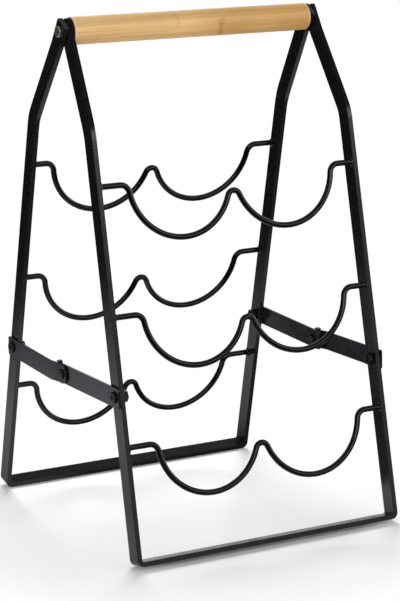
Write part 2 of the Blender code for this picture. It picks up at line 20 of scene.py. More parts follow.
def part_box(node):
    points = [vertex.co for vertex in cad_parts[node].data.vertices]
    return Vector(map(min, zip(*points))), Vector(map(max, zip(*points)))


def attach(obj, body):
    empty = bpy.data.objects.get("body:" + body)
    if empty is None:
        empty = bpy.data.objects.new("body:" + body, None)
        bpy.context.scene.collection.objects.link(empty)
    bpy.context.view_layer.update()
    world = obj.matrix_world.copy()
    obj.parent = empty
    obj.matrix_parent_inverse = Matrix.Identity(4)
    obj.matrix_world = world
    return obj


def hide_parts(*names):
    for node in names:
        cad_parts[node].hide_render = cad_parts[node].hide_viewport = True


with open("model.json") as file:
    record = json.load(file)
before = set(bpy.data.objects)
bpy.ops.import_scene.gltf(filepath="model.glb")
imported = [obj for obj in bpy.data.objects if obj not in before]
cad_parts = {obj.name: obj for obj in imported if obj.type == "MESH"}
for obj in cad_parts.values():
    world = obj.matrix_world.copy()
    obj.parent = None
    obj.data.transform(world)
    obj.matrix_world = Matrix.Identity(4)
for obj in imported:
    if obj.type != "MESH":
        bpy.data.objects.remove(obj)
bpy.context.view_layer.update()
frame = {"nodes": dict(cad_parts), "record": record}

print("nodes:", len(frame["nodes"]))

# %% [markdown]
# ## Where things are
#
# The two frames are one part, and the rear one is the front one turned half round. So every shape is
# worked out once in a frame's own axes, which have their origin on the handle's axis and their Z
# along the legs, and is then carried to the front or to the rear by one matrix.
#
# The measures are the model's own, and its boxes give the places of the handle and the fasteners, so
# nothing has to be fitted by eye.

# %% The rack's main measures
HALF_TURN = math.pi
QUARTER_TURN = math.pi / 2

AXIS_HEIGHT = 0.405
FOOT_SPREAD = 0.243
SHOULDER_SPREAD = 0.0933
SHOULDER_HEIGHT = 0.332
BAR_WIDTH = 0.014
BAR_THICKNESS = 0.004
FRAME_OFFSET = 0.0046

LEAN = math.atan2((FOOT_SPREAD - SHOULDER_SPREAD) / 2, SHOULDER_HEIGHT)


def in_frame_axes(y, z):
    """A point of the rack's side view, in the leaning axes of the front frame."""
    down = z - AXIS_HEIGHT
    return y * math.cos(LEAN) - down * math.sin(LEAN), y * math.sin(LEAN) + down * math.cos(LEAN)


SHOULDER = in_frame_axes(-SHOULDER_SPREAD / 2, SHOULDER_HEIGHT)
LEG_SETBACK = -SHOULDER[0]
SHOULDER_LEVEL = SHOULDER[1]
RAIL_LEVEL = in_frame_axes(-FOOT_SPREAD / 2, 0)[1] + BAR_WIDTH / 2 * math.tan(LEAN)


def frame_matrix(place):
    """Carries a shape from a frame's own axes to the front or to the rear of the rack."""
    turn = {"front": 0, "rear": HALF_TURN}[place]
    height = Matrix.Translation((0, 0, AXIS_HEIGHT))
    offset = Matrix.Translation((FRAME_OFFSET / 2, 0, 0))
    return height @ Matrix.Rotation(turn, 4, "Z") @ offset @ Matrix.Rotation(-LEAN, 4, "X")


print(f"legs lean {math.degrees(LEAN):.2f} degrees and stand {LEG_SETBACK * 1000:.1f} mm off the axis")

# %% [markdown]
# ## Building a material from nodes
#
# A procedural material is a small network: a texture node makes a grey pattern from a place on the
# piece, a ramp narrows that pattern to the values that are wanted, and the shader takes it as a
# colour, a roughness or a bump. Every pattern here reads Object coordinates, which are metres on the
# piece, so grain keeps its real size and doesn't slide when a part moves.
#
# A few helpers keep the cells that follow short: one starts a material, one makes a noise of a given
# grain, one maps a pattern onto a range, one does sums on patterns and one mixes colours by them.

# %% Helpers for materials
def new_material(name, color, roughness, metallic=0.0):
    """A material with one Principled shader, and that shader."""
    material = bpy.data.materials.new(name)
    material.use_nodes = True
    shader = material.node_tree.nodes["Principled BSDF"]
    shader.inputs["Base Color"].default_value = (*color, 1)
    shader.inputs["Roughness"].default_value = roughness
    shader.inputs["Metallic"].default_value = metallic
    return material, shader


def add_node(holder, kind, settings=None, **values):
    """A node with its settings, and its inputs set by name. The holder is a material or a world."""
    node = holder.node_tree.nodes.new(kind)
    for key, value in (settings or {}).items():
        setattr(node, key, value)
    for key, value in values.items():
        node.inputs[key.replace("_", " ")].default_value = value
    return node


def join(holder, source, target):
    """Runs a wire from an output to an input. A plain value is set on the input instead."""
    if isinstance(source, bpy.types.NodeSocket):
        holder.node_tree.links.new(source, target)
    else:
        target.default_value = source


def object_place(material, stretch=(1, 1, 1), shift=(0, 0, 0)):
    """Places on the piece in metres, stretched so that a pattern can run along one direction."""
    place = add_node(material, "ShaderNodeTexCoord")
    mapping = add_node(material, "ShaderNodeMapping", Scale=stretch, Location=shift)
    join(material, place.outputs["Object"], mapping.inputs["Vector"])
    return mapping.outputs["Vector"]


def grain(material, place, size, detail=2.0, roughness=0.5):
    """A noise whose blots are about as wide as the given size."""
    node = add_node(material, "ShaderNodeTexNoise", Scale=1 / size, Detail=detail, Roughness=roughness)
    join(material, place, node.inputs["Vector"])
    return node.outputs["Fac"]


def spread(material, pattern, low, high, start=0.3, end=0.7):
    """Maps a pattern from start to end onto values from low to high."""
    node = add_node(material, "ShaderNodeMapRange", From_Min=start, From_Max=end, To_Min=low, To_Max=high)
    join(material, pattern, node.inputs["Value"])
    return node.outputs["Result"]


def calculate(material, operation, *values):
    """A sum on patterns and plain numbers."""
    node = add_node(material, "ShaderNodeMath", {"operation": operation})
    for value, target in zip(values, node.inputs):
        join(material, value, target)
    return node.outputs["Value"]


def color_ramp(material, pattern, stops):
    """Turns a pattern into colours, given as places from 0 to 1 with a colour each."""
    node = add_node(material, "ShaderNodeValToRGB")
    ramp = node.color_ramp
    while len(ramp.elements) < len(stops):
        ramp.elements.new(0.5)
    for element, (position, color) in zip(ramp.elements, stops):
        element.position = position
        element.color = (*color, 1)
    join(material, pattern, node.inputs["Fac"])
    return node.outputs["Color"]


def mix_colors(material, share, first, second, blend_type="MIX"):
    """Mixes two colours by a share. Sockets 6 and 7 are the node's colour inputs, output 2 its colour."""
    node = add_node(material, "ShaderNodeMix", {"data_type": "RGBA", "blend_type": blend_type})
    for value, socket in ((share, "Factor"), (first, 6), (second, 7)):
        join(material, value, node.inputs[socket])
    return node.outputs[2]


def bump(material, shader, pattern, height, under=None):
    """Raises the surface by a pattern, on top of another bump if one is given."""
    node = add_node(material, "ShaderNodeBump", Strength=1.0, Distance=height)
    join(material, pattern, node.inputs["Height"])
    if under is not None:
        join(material, under, node.inputs["Normal"])
    join(material, node.outputs["Normal"], shader.inputs["Normal"])
    return node.outputs["Normal"]


print("material helpers are ready")

# %% [markdown]
# ## Black powder coat
#
# The frames, wires and stays are steel under a satin black powder coat. The powder is baked on, so it
# is even and thick, with a very fine orange peel that blurs what it mirrors. Nearly all the light
# that comes off such a black surface is gloss, so the roughness matters more than the colour.
#
# Along a sharp corner the powder pulls back a little and hands polish it, so the bevelled edges carry
# an attribute named edge. It makes them a touch smoother and greyer; the grey is partly wear and
# partly a painted sheen.

# %% Powder coat
DEEP_BLACK = (0.0006, 0.0006, 0.0009)
SMUDGED_BLACK = (0.0018, 0.0018, 0.0022)
# Grey of the corners: partly wear, partly a painted sheen.
WORN_AND_SHEEN_BLACK = (0.012, 0.012, 0.013, 1)
SMUDGE_SIZE = 0.018
FLECK_SIZE = 0.0016
PEEL_SIZE = 0.0011
PEEL_HEIGHT = 0.000012
PORE_SIZE = 0.00028
PORE_HEIGHT = 0.000004


def powder_coat(name, smooth, dull, has_edges=True):
    """Satin black with orange peel, faint smudges and slightly polished corners, whose grey is partly wear
    and partly a painted sheen. The two numbers are the roughness where it is smoothest and where it is
    dullest."""
    material, shader = new_material(name, (0.004, 0.004, 0.0045), dull)
    place = object_place(material)
    smudge = grain(material, place, SMUDGE_SIZE, 3.0, 0.6)
    fleck = grain(material, place, FLECK_SIZE, 2.0, 0.6)
    tint = color_ramp(material, smudge, ((0.3, DEEP_BLACK), (0.75, SMUDGED_BLACK)))
    rough = spread(material, smudge, smooth, dull)
    rough = calculate(material, "ADD", rough, spread(material, fleck, -0.03, 0.03))
    if has_edges:
        edge = add_node(material, "ShaderNodeAttribute", {"attribute_name": "edge"})
        patches = spread(material, fleck, 0.35, 1.0, 0.35, 0.65)
        wear_and_sheen = calculate(material, "MULTIPLY", edge.outputs["Fac"], patches)
        rough = calculate(material, "MULTIPLY_ADD", wear_and_sheen, -0.06, rough)
        # The corners' grey is partly wear and partly a painted sheen.
        tint = mix_colors(material, wear_and_sheen, tint, WORN_AND_SHEEN_BLACK)
    join(material, tint, shader.inputs["Base Color"])
    join(material, rough, shader.inputs["Roughness"])
    peel = grain(material, place, PEEL_SIZE, 2.0, 0.5)
    pores = grain(material, place, PORE_SIZE, 1.0, 0.5)
    under = bump(material, shader, spread(material, peel, 0, 1), PEEL_HEIGHT)
    bump(material, shader, spread(material, pores, 0, 1), PORE_HEIGHT, under)
    return material


frame_paint = powder_coat("frame_powder_coat", 0.15, 0.21)
wire_paint = powder_coat("wire_powder_coat", 0.11, 0.17, False)
stay_paint = powder_coat("stay_powder_coat", 0.18, 0.26)
print("powder coats:", frame_paint.name, wire_paint.name, stay_paint.name)

# %% [markdown]
# ## Blackened fasteners and bright screws
#
# The stays' bolts, nuts and rivets are blackened steel. It is a thin, dark, satin layer that lets a
# little metal shine through in spots, where a tool or a neighbour has rubbed it. The two screws in
# the handle are plated with warm bright nickel: metal, with very fine turning marks round their
# middle and small differences in gloss. Their socket is darkened with painted shade.

# %% Fastener finishes
OXIDE_STOPS = ((0.35, (0.0012, 0.0012, 0.0015)), (0.64, (0.004, 0.004, 0.0044)), (0.82, (0.05, 0.05, 0.05)))
NICKEL_STOPS = ((0.3, (0.66, 0.63, 0.54)), (0.7, (0.84, 0.81, 0.70)))
# Painted shade for the inside of the screws' sockets.
SOCKET_SHADE = (0.02, 0.02, 0.02, 1)
RUB_SIZE = 0.0009
OXIDE_GRAIN = 0.0004
OXIDE_HEIGHT = 0.000008
CLOUD_SIZE = 0.0022
RING_SCALE = 900.0
RING_HEIGHT = 0.000003
SOCKET_WALL = 0.0017
SOCKET_RIM = 0.0021


def blackened_steel(name):
    """A satin black oxide layer, with metal glinting through in tiny rubbed spots."""
    material, shader = new_material(name, (0.005, 0.005, 0.0055), 0.5)
    place = object_place(material)
    rub = grain(material, place, RUB_SIZE, 4.0, 0.7)
    join(material, color_ramp(material, rub, OXIDE_STOPS), shader.inputs["Base Color"])
    join(material, spread(material, rub, 0.26, 0.42), shader.inputs["Roughness"])
    bump(material, shader, spread(material, grain(material, place, OXIDE_GRAIN), 0, 1), OXIDE_HEIGHT)
    return material


def warm_nickel(name):
    """Bright plating with turning rings about the X axis, a cloudy gloss and painted shade in the socket.
    """
    material, shader = new_material(name, (0.75, 0.72, 0.62), 0.46, 1.0)
    place = object_place(material)
    cloud = grain(material, place, CLOUD_SIZE, 3.0, 0.6)
    tint = color_ramp(material, cloud, NICKEL_STOPS)
    join(material, spread(material, cloud, 0.40, 0.52), shader.inputs["Roughness"])
    centred = object_place(material, shift=(0, 0, -AXIS_HEIGHT))
    from_axis = add_node(material, "ShaderNodeVectorMath", {"operation": "LENGTH"})
    join(material, object_place(material, (0, 1, 1), (0, 0, -AXIS_HEIGHT)), from_axis.inputs[0])
    # Painted shade: the inside of the socket is darkened.
    painted_socket_shade = spread(material, from_axis.outputs["Value"], 0.95, 0.0, SOCKET_WALL, SOCKET_RIM)
    tint = mix_colors(material, painted_socket_shade, tint, SOCKET_SHADE)
    join(material, tint, shader.inputs["Base Color"])
    rings = add_node(material, "ShaderNodeTexWave", {"wave_type": "RINGS", "rings_direction": "X"},
                     Scale=RING_SCALE, Distortion=0.6, Detail=1.0)
    join(material, centred, rings.inputs["Vector"])
    bump(material, shader, rings.outputs["Fac"], RING_HEIGHT)
    return material


zinc = blackened_steel("blackened_steel")
nickel = warm_nickel("warm_nickel")
print("fastener finishes:", zinc.name, nickel.name)

# %% [markdown]
# ## Varnished bamboo
#
# The handle is turned from a bar of bamboo strips that are glued side by side, and varnished. Three
# things make it look like bamboo and not like any pale wood:
#
# - long straight fibres, as fine dark streaks that run from end to end,
# - strips of slightly different honey tones with thin glue lines between them,
# - nodes, the joints of the cane: each strip has a darker, slightly curved band across it every 20
#   to 30 centimetres, at another place in each strip.
#
# The colour also deepens around the middle, from paler on the left to deeper on the right. The flat
# ends are end grain: the fibres' open ends soak up the varnish and turn dark brown, and painted shade
# darkens them further. The rounded rim next to them carries a painted highlight, a paler colour.
#
# The fibres are a noise that is stretched about sixty times along X. The strips come from rounding
# the height on the piece to steps, and each step's number picks its own tone.

# %% Bamboo
HANDLE_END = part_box("handle")[1].x
STRIP_WIDTH = 0.0062
FIBRE_STRETCH = 0.016
FIBRE_SIZE = 0.00075
FIBRE_HEIGHT = 0.00006
STREAK_SIZE = 0.0032
PATCH_SIZE = 0.045
VARNISH_GRAIN = 0.0012
VARNISH_HEIGHT = 0.000012
RIGHTWARD_DARKENING = (-0.015, 0.035)
BAND_GRAIN = 0.006
BAND_WOBBLE = 0.0016
BAND_FADE = 0.001
# Each node band: its place along the handle, its reach, the heights between which it lies and its
# strength.
NODE_BANDS = (
    (0.0235, 0.0042, -0.0125, 0.0040, 0.58),
    (-0.0175, 0.0030, -0.0020, 0.0124, 0.30),
    (-0.0880, 0.0026, -0.0125, -0.0030, 0.22),
)
NODE_BROWN = (0.62, 0.46, 0.30, 1)
# A painted highlight on the rounded rim, and dark end grain with painted shade.
RIM_HIGHLIGHT = (0.86, 0.64, 0.36, 1)
END_GRAIN_AND_SHADE = (0.050, 0.022, 0.008, 1)
RIM_START = HANDLE_END - 0.0026
RIM_FULL = HANDLE_END - 0.0012
END_START = HANDLE_END - 0.0008
END_FULL = HANDLE_END - 0.0003


def node_band(material, split, place, centre, width, low, high):
    """A soft dark band across the fibres at one place along the handle, with a ragged edge. It covers
    the strips between two heights."""
    wobble = spread(material, grain(material, place, BAND_GRAIN, 2.0, 0.6), -BAND_WOBBLE, BAND_WOBBLE)
    along = calculate(material, "ADD", split.outputs["X"], wobble)
    away = calculate(material, "ABSOLUTE", calculate(material, "SUBTRACT", along, centre))
    band = spread(material, away, 1.0, 0.0, 0.0, width)
    above = spread(material, split.outputs["Z"], 0.0, 1.0, low - BAND_FADE, low)
    below = spread(material, split.outputs["Z"], 1.0, 0.0, high, high + BAND_FADE)
    return calculate(material, "MULTIPLY", band, calculate(material, "MULTIPLY", above, below))


def varnished_bamboo(name):
    """Turned bamboo: fibres along X, glued strips, darker nodes, dark end grain with painted shade, a
    painted highlight on the rim and a satin varnish.
    """
    material, shader = new_material(name, (0.62, 0.40, 0.17), 0.42)
    place = object_place(material, shift=(0, 0, -AXIS_HEIGHT))
    split = add_node(material, "ShaderNodeSeparateXYZ")
    join(material, place, split.inputs["Vector"])
    strips = calculate(material, "DIVIDE", split.outputs["Z"], STRIP_WIDTH)
    tone = add_node(material, "ShaderNodeTexWhiteNoise", {"noise_dimensions": "1D"})
    join(material, calculate(material, "FLOOR", strips), tone.inputs["W"])
    glue = spread(material, calculate(material, "FRACT", strips), 1.0, 0.0, 0.0, 0.05)
    fibre_place = object_place(material, stretch=(FIBRE_STRETCH, 1, 1))
    fibre = grain(material, fibre_place, FIBRE_SIZE, 4.0, 0.65)
    streak = grain(material, fibre_place, STREAK_SIZE, 2.0, 0.5)
    cloud = grain(material, place, PATCH_SIZE, 2.0, 0.5)
    color = color_ramp(material, tone.outputs["Value"], (
        (0.0, (0.740, 0.486, 0.214)), (0.5, (0.790, 0.532, 0.244)), (1.0, (0.760, 0.500, 0.214))))
    # The colour gets darker towards the right, changing around the middle.
    slow = spread(material, split.outputs["X"], 0.0, 1.0, *RIGHTWARD_DARKENING)
    patterns = (
        (0.60, fibre, ((0.30, (0.72, 0.60, 0.42)), (0.55, (1.0, 1.0, 1.0)))),
        (0.60, streak, ((0.35, (0.87, 0.80, 0.69)), (0.60, (1.04, 1.03, 1.00)))),
        (1.00, cloud, ((0.30, (0.95, 0.91, 0.84)), (0.70, (1.03, 1.03, 1.02)))),
        (1.00, slow, ((0.00, (1.0, 1.0, 1.0)), (1.00, (0.81, 0.72, 0.52)))),
    )
    for share, pattern, stops in patterns:
        color = mix_colors(material, share, color, color_ramp(material, pattern, stops), "MULTIPLY")
    marks = [(glue, 0.20)]
    for *where, strength in NODE_BANDS:
        marks.append((node_band(material, split, place, *where), strength))
    for pattern, strength in marks:
        share = calculate(material, "MULTIPLY", pattern, strength)
        color = mix_colors(material, share, color, NODE_BROWN, "MULTIPLY")
    from_middle = calculate(material, "ABSOLUTE", split.outputs["X"])
    # Painted highlight: the rounded rim is paler.
    rim = spread(material, from_middle, 0.0, 0.5, RIM_START, RIM_FULL)
    color = mix_colors(material, rim, color, RIM_HIGHLIGHT)
    # Dark end grain, darkened further with painted shade.
    end_grain_and_shade = spread(material, from_middle, 0.0, 1.0, END_START, END_FULL)
    color = mix_colors(material, end_grain_and_shade, color, END_GRAIN_AND_SHADE)
    join(material, color, shader.inputs["Base Color"])
    join(material, spread(material, fibre, 0.36, 0.50), shader.inputs["Roughness"])
    shader.inputs["Coat Weight"].default_value = 0.25
    shader.inputs["Coat Roughness"].default_value = 0.28
    under = bump(material, shader, fibre, FIBRE_HEIGHT)
    bump(material, shader, grain(material, place, VARNISH_GRAIN), VARNISH_HEIGHT, under)
    return material


bamboo = varnished_bamboo("varnished_bamboo")
print("handle finish:", bamboo.name)

# %% [markdown]
# ## Rounding the edges of rolled steel
#
# Flat bar and punched strip never have knife edges: rolling and the powder round them off, and that
# round is what catches the light and draws the fine bright line along each leg. The model's solids
# are sharp, so each of them is copied, its loose triangles are merged, flat neighbours are joined
# into whole faces again, and every edge sharper than a chosen angle is bevelled.
#
# The bevel's own faces get the attribute named edge that the powder coat reads. A Weighted Normal
# modifier then keeps the big faces flat in the shading while the bevels stay round.

# %% Helpers for pieces
MERGE_DISTANCE = 0.00001
FLAT_ANGLE = 0.6
BEVEL_ANGLE = 35


def add_piece(name, shape, material, body, sharp_angle=40):
    """Turns a finished bmesh into a piece that rides on a body and takes the given material."""
    mesh = bpy.data.meshes.new(name)
    shape.to_mesh(mesh)
    shape.free()
    mesh.shade_smooth()
    mesh.set_sharp_from_angle(angle=math.radians(sharp_angle))
    mesh.materials.append(material)
    piece = bpy.data.objects.new(name, mesh)
    bpy.context.scene.collection.objects.link(piece)
    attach(piece, body)
    return piece


def merged_copy(node):
    """A copy of a model node as whole flat faces on shared vertices."""
    shape = bmesh.new()
    shape.from_mesh(frame["nodes"][node].data)
    bmesh.ops.remove_doubles(shape, verts=shape.verts, dist=MERGE_DISTANCE)
    bmesh.ops.dissolve_limit(shape, angle_limit=math.radians(FLAT_ANGLE), verts=shape.verts,
                             edges=shape.edges)
    return shape


def round_edges(shape, radius, segments):
    """Bevels every sharp edge and marks the new faces as edge."""
    mark = shape.verts.layers.float.new("edge")
    limit = math.radians(BEVEL_ANGLE)
    sharp = [edge for edge in shape.edges if edge.is_manifold and edge.calc_face_angle() > limit]
    result = bmesh.ops.bevel(shape, geom=sharp, offset=radius, offset_type="OFFSET", affect="EDGES",
                             segments=segments, profile=0.5, material=-1, clamp_overlap=True)
    for face in result["faces"]:
        for vertex in face.verts:
            vertex[mark] = 1.0
    return len(sharp)


def keep_faces_flat(piece):
    """Lets big faces rule the shading, so that only the bevels look round."""
    modifier = piece.modifiers.new("flat_faces", "WEIGHTED_NORMAL")
    modifier.keep_sharp = True
    modifier.weight = 80


print("piece helpers are ready")

# %% [markdown]
# ## The two bar frames
#
# Each frame is one length of 14 by 4 mm flat bar. It is bent the easy way, over its flat, at the two
# bottom corners, and the hard way, on its edge, at the shoulders where the arms turn in to the
# handle. The model's solid already has every bend, so its edges only need their rounding.

# %% Bar frames
BAR_ROUND = 0.0006

for place in ("front", "rear"):
    shape = merged_copy(place + "_frame")
    count = round_edges(shape, BAR_ROUND, 3)
    piece = add_piece(place + "_bar_frame", shape, frame_paint, place + "_frame")
    keep_faces_flat(piece)
    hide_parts(place + "_frame")
    print(piece.name, "edges rounded:", count, "faces:", len(piece.data.polygons))

# %% [markdown]
# ## The wires
#
# A wire is a 4.8 mm rod that is bent in a jig. From the weld on one leg it runs in, turns down over a
# small pin, sweeps round a berth, turns up and over a tighter peak between the two berths, and does
# the same in reverse. Straight runs and true arcs are just what the jig makes, so the wire is made
# the same way: a ring of vertices is pushed along the straight parts with extrude and carried round
# each bend with spin, about that bend's own centre.
#
# The berths sit a little off the frame's middle, so the two straight ends differ in length.

# %% Wires
WIRE_RADIUS = 0.0024
FIRST_WIRE = 0.0931
WIRE_PITCH = 0.1012
BERTH_SPACING = 0.0941
BERTH_RADIUS = 0.0449
BERTH_DROP = 0.0003
BEND_RADIUS = 0.0075
PEAK_RADIUS = 0.0055
WIRE_OFFSET = 0.0013
WIRE_PLANE = -LEG_SETBACK - BAR_WIDTH / 2 + WIRE_RADIUS
SHOULDER_HALF_WIDTH = 0.11815
FOOT_HALF_WIDTH = 0.1201
WIRE_SIDES = 20
BEND_STEPS = 8
BERTH_STEPS = 44
PEAK_STEPS = 14


def leg_inner_face(level):
    """How far the inner face of a leg is from the frame's middle, at a level below the shoulder."""
    share = (SHOULDER_LEVEL - level) / (SHOULDER_LEVEL - RAIL_LEVEL)
    return SHOULDER_HALF_WIDTH + (FOOT_HALF_WIDTH - SHOULDER_HALF_WIDTH) * share - BAR_THICKNESS


def bend_round(shape, ring, centre, angle, steps):
    """Carries a ring of the wire round a pin. The pin's axis is square to the wire's plane."""
    result = bmesh.ops.spin(shape, geom=ring, cent=(centre[0], WIRE_PLANE, centre[1]), axis=(0, 1, 0),
                            dvec=(0, 0, 0), angle=angle, steps=steps, use_merge=False,
                            use_normal_flip=False, use_duplicate=False)
    return [part for part in result["geom_last"] if isinstance(part, bmesh.types.BMEdge)]


def run_straight(shape, ring, distance):
    """Pushes a ring of the wire on along X."""
    result = bmesh.ops.extrude_edge_only(shape, edges=ring)
    fresh = [part for part in result["geom"] if isinstance(part, bmesh.types.BMVert)]
    bmesh.ops.translate(shape, verts=fresh, vec=(distance, 0, 0))
    return [part for part in result["geom"] if isinstance(part, bmesh.types.BMEdge)
            and all(end in fresh for end in part.verts)]


def bent_wire(level):
    """One wire in a frame's own axes, from the left leg to the right one."""
    berth = (BERTH_SPACING / 2, level - BERTH_DROP)
    bend_level = level - BEND_RADIUS
    reach = math.sqrt((BERTH_RADIUS + BEND_RADIUS) ** 2 - (bend_level - berth[1]) ** 2)
    to_bend = math.atan2(bend_level - berth[1], reach)
    drop = math.sqrt((BERTH_RADIUS + PEAK_RADIUS) ** 2 - berth[0] ** 2)
    to_peak = math.atan2(-drop, -berth[0])
    shift = WIRE_OFFSET
    start = -leg_inner_face(level)
    first_bend = -berth[0] - reach + shift
    turn_down = QUARTER_TURN + to_bend
    sweep = (to_bend - to_peak) % (2 * HALF_TURN)
    over = 2 * (QUARTER_TURN - (to_peak + HALF_TURN))
    shape = bmesh.new()
    bmesh.ops.create_circle(shape, cap_ends=False, segments=WIRE_SIDES, radius=WIRE_RADIUS)
    stand = Matrix.Rotation(QUARTER_TURN, 4, "Y")
    bmesh.ops.transform(shape, matrix=Matrix.Translation((start, WIRE_PLANE, level)) @ stand,
                        verts=shape.verts)
    ring = list(shape.edges)
    ring = run_straight(shape, ring, first_bend - start)
    ring = bend_round(shape, ring, (first_bend, bend_level), turn_down, BEND_STEPS)
    ring = bend_round(shape, ring, (-berth[0] + shift, berth[1]), -sweep, BERTH_STEPS)
    ring = bend_round(shape, ring, (shift, berth[1] - drop), over, PEAK_STEPS)
    ring = bend_round(shape, ring, (berth[0] + shift, berth[1]), -sweep, BERTH_STEPS)
    ring = bend_round(shape, ring, (berth[0] + reach + shift, bend_level), turn_down, BEND_STEPS)
    here = sum((vertex.co.x for edge in ring for vertex in edge.verts)) / (2 * len(ring))
    run_straight(shape, ring, -start - here)
    bmesh.ops.holes_fill(shape, edges=shape.edges, sides=WIRE_SIDES)
    bmesh.ops.remove_doubles(shape, verts=shape.verts, dist=MERGE_DISTANCE)
    bmesh.ops.recalc_face_normals(shape, faces=shape.faces)
    return shape


TIERS = ("bottom", "middle", "top")
for place in ("front", "rear"):
    for tier, tier_name in enumerate(TIERS):
        level = RAIL_LEVEL + FIRST_WIRE + tier * WIRE_PITCH
        shape = bent_wire(level)
        bmesh.ops.transform(shape, matrix=frame_matrix(place), verts=shape.verts)
        node = f"{place}_{tier_name}_wire"
        name = f"{place}_{tier_name}_bent_wire"
        piece = add_piece(name, shape, wire_paint, place + "_frame")
        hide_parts(node)
        low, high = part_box(node)
        bottom = min(vertex.co.z for vertex in piece.data.vertices)
        print(piece.name, f"lowest point {bottom * 1000:.2f} mm, the model's {low.z * 1000:.2f} mm")

# %% [markdown]
# ## The welds
#
# Each wire end is welded to the inner face of its leg, and the powder flows over the weld. It looks
# like a small lumpy collar that runs out onto the leg. So a ring is laid round the wire on the leg's
# face and drawn out along the wire in small steps. Each step narrows it a little less than the last,
# which hollows the slope into a fillet, and a little noise round the ring makes the lumps of the weld
# pool. The wire lies flush with the leg's outer edge, so there the collar is held back to that edge.

# %% Weld collars
WELD_REACH = 0.0017
WELD_LENGTH = 0.0019
WELD_OVERLAP = 0.00008
WELD_RINGS = 7
WELD_SIDES = 28
WELD_LUMPS = 0.22
LUMPS_ROUND = 3
LUMPS_CHANGE = 90
COLLAR_GAP = 0.00002
EDGE_GUARD = 0.00012


def weld_collar(level, side):
    """A lumpy fillet round the wire's end. Side is -1 for the frame's left leg and 1 for the right."""
    shape = bmesh.new()
    made = bmesh.ops.create_circle(shape, cap_ends=False, segments=WELD_SIDES, radius=1.0)
    corners = made["verts"]
    ring = list(shape.edges)
    for step in range(WELD_RINGS + 1):
        share = step / WELD_RINGS
        for vertex in corners:
            around = math.atan2(vertex.co.y, vertex.co.x)
            place = Vector((LUMPS_ROUND * math.cos(around), LUMPS_ROUND * math.sin(around),
                            level * LUMPS_CHANGE + side))
            lump = 1 + WELD_LUMPS * noise.noise(place)
            radius = WIRE_RADIUS + COLLAR_GAP + WELD_REACH * (1 - share) ** 2 * lump
            height = WELD_LENGTH * share * lump
            vertex.co = (radius * math.cos(around), radius * math.sin(around), height)
        if step < WELD_RINGS:
            result = bmesh.ops.extrude_edge_only(shape, edges=ring)
            corners = [part for part in result["geom"] if isinstance(part, bmesh.types.BMVert)]
            ring = [part for part in result["geom"] if isinstance(part, bmesh.types.BMEdge)
                    and all(end in corners for end in part.verts)]
    bmesh.ops.recalc_face_normals(shape, faces=shape.faces)
    turn = Matrix.Rotation(-side * QUARTER_TURN, 4, "Y")
    face = side * (leg_inner_face(level) + WELD_OVERLAP)
    stand = Matrix.Translation((face, WIRE_PLANE, level)) @ turn
    bmesh.ops.transform(shape, matrix=stand, verts=shape.verts)
    outer_edge = WIRE_PLANE - WIRE_RADIUS - EDGE_GUARD
    for vertex in shape.verts:
        vertex.co.y = max(vertex.co.y, outer_edge)
    return shape


for place in ("front", "rear"):
    for tier, tier_name in enumerate(TIERS):
        level = RAIL_LEVEL + FIRST_WIRE + tier * WIRE_PITCH
        for side, side_name in ((-1, "left"), (1, "right")):
            shape = weld_collar(level, side)
            bmesh.ops.transform(shape, matrix=frame_matrix(place), verts=shape.verts)
            name = f"{place}_{tier_name}_{side_name}_weld"
            add_piece(name, shape, wire_paint, place + "_frame", 60)
print("weld collars: 12")

# %% [markdown]
# ## The folding stays
#
# Each stay is two punched strips of 16 by 1.5 mm. The inner strip carries a bent tab that stops the
# stay when it is straight, and the outer one steps in to meet it at the rivet. Punching and powder
# leave a smaller round on their edges than on the thick bar, so the same helper is used with a
# smaller radius.

# %% Stay strips
STRIP_ROUND = 0.0003

for side in ("left", "right"):
    for end in ("front", "rear"):
        node = f"{side}_{end}_link"
        shape = merged_copy(node)
        count = round_edges(shape, STRIP_ROUND, 2)
        piece = add_piece(f"{side}_{end}_strip", shape, stay_paint, node)
        keep_faces_flat(piece)
        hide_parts(node)
        print(piece.name, "edges rounded:", count)

# %% [markdown]
# ## The handle
#
# The handle is a turned piece, so it is made as a lathe makes it: half of its outline is drawn once
# and spun about the axis. Its ends have a small round that meets a flat end face. The bore for the
# screw is blind and hidden behind the legs' eyes, and the outline runs into it so that the wall is
# really there.

# %% Handle
HANDLE_RADIUS = 0.011
HANDLE_EDGE = 0.0015
HANDLE_STEPS = 96
BORE_RADIUS = 0.0028
BORE_DEPTH = 0.022


def outline(shape, points):
    """Draws an open line of edges through points given as distance along X and radius."""
    corners = [shape.verts.new((along, radius, 0)) for along, radius in points]
    for first, second in zip(corners, corners[1:]):
        shape.edges.new((first, second))
    return corners


def spin_about_x(shape, steps):
    """Spins everything drawn so far about the X axis into a closed round piece."""
    bmesh.ops.spin(shape, geom=list(shape.verts) + list(shape.edges), cent=(0, 0, 0), axis=(1, 0, 0),
                   dvec=(0, 0, 0), angle=2 * HALF_TURN, steps=steps, use_merge=True,
                   use_normal_flip=False, use_duplicate=False)
    bmesh.ops.remove_doubles(shape, verts=shape.verts, dist=MERGE_DISTANCE / 10)
    bmesh.ops.recalc_face_normals(shape, faces=shape.faces)


def quarter_round(along, out, radius, steps):
    """Points of a rounded rim, from the end face over to the side."""
    points = []
    for step in range(steps + 1):
        angle = QUARTER_TURN * step / steps
        points.append((along + radius * math.cos(angle), out + radius * math.sin(angle)))
    return points


